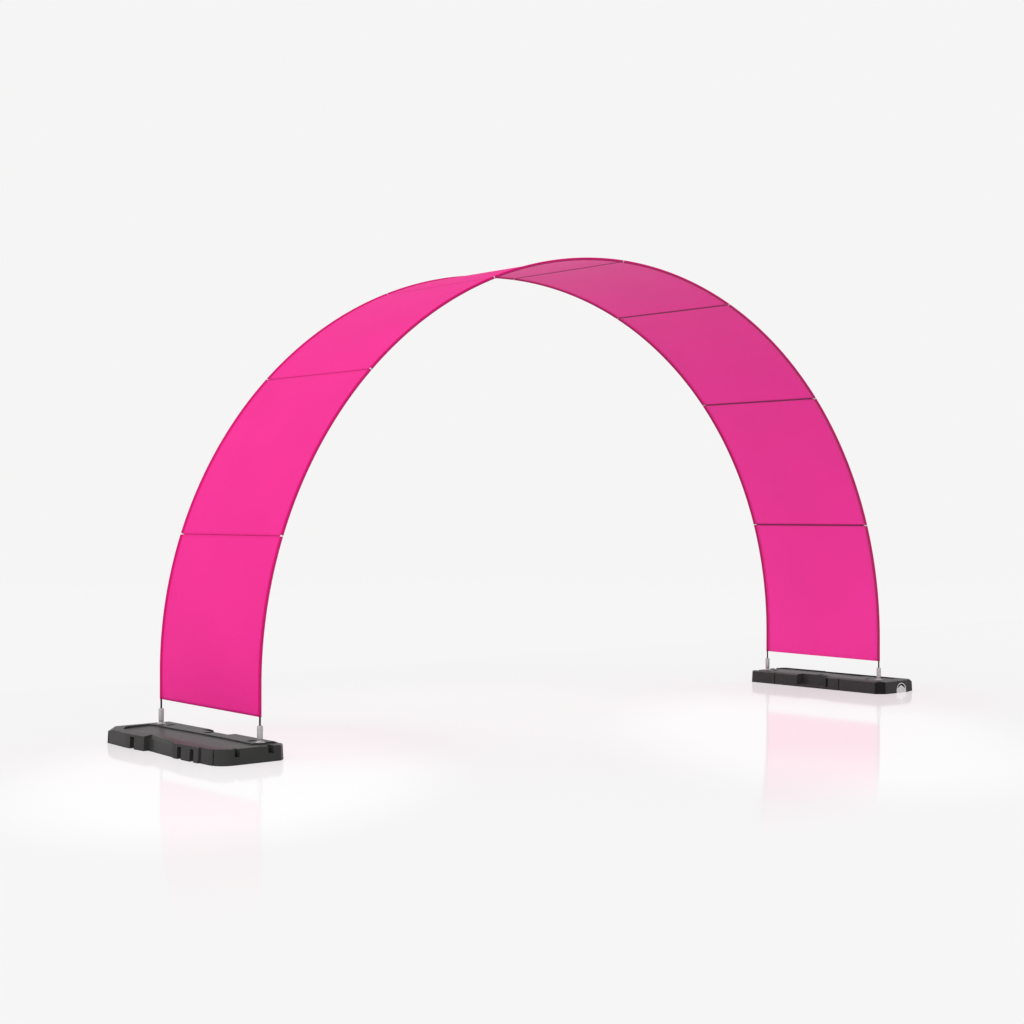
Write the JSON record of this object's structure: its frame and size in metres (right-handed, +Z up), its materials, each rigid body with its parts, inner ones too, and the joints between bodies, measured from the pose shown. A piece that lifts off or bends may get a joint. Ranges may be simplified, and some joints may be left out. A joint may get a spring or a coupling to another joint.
{
  "type": "advertising arch with bent pole frame, sockets and base plates",
  "caption": "Free-standing walk-through arch: seamed cloth panels sleeved on two bent pole lines that stand in sockets on two heavy base plates.",
  "frame": {"origin": "on the floor, midway between the two base plates", "axes": "+X along the span to the picture's right, +Y across the cloth away from the camera's side, +Z up"},
  "size_m": [5.504, 1.188, 2.7217],
  "materials": {
    "cloth": "woven polyester, printed one colour, matt",
    "tape": "narrow woven tape, matt",
    "pole": "pultruded glass fibre rod, satin",
    "ferrule": "drawn tube, satin",
    "socket": "zinc plated, satin",
    "rubber": "moulded recycled rubber, satin",
    "plug": "moulded, matt"
  },
  "bodies": {
    "root": {"panel_1": "cloth", "panel_2": "cloth", "panel_3": "cloth", "panel_4": "cloth", "panel_5": "cloth", "panel_6": "cloth", "panel_7": "cloth", "panel_8": "cloth", "seam_tape_1": "tape", "seam_tape_2": "tape", "seam_tape_3": "tape", "seam_tape_4": "tape", "seam_tape_5": "tape", "seam_tape_6": "tape", "seam_tape_7": "tape", "pole_near_1": "pole", "pole_near_2": "pole", "pole_near_3": "pole", "pole_near_4": "pole", "pole_near_5": "pole", "pole_near_6": "pole", "pole_near_7": "pole", "pole_near_8": "pole", "pole_far_1": "pole", "pole_far_2": "pole", "pole_far_3": "pole", "pole_far_4": "pole", "pole_far_5": "pole", "pole_far_6": "pole", "pole_far_7": "pole", "pole_far_8": "pole", "ferrule_near_1": "ferrule", "ferrule_near_2": "ferrule", "ferrule_near_3": "ferrule", "ferrule_near_4": "ferrule", "ferrule_near_5": "ferrule", "ferrule_near_6": "ferrule", "ferrule_near_7": "ferrule", "ferrule_far_1": "ferrule", "ferrule_far_2": "ferrule", "ferrule_far_3": "ferrule", "ferrule_far_4": "ferrule", "ferrule_far_5": "ferrule", "ferrule_far_6": "ferrule", "ferrule_far_7": "ferrule", "socket_left_near": "socket", "socket_left_far": "socket", "socket_right_near": "socket", "socket_right_far": "socket", "base_plate_left": "rubber", "base_plate_right": "rubber", "end_plug_left": "plug", "end_plug_right": "plug"}
  },
  "joints": []
}
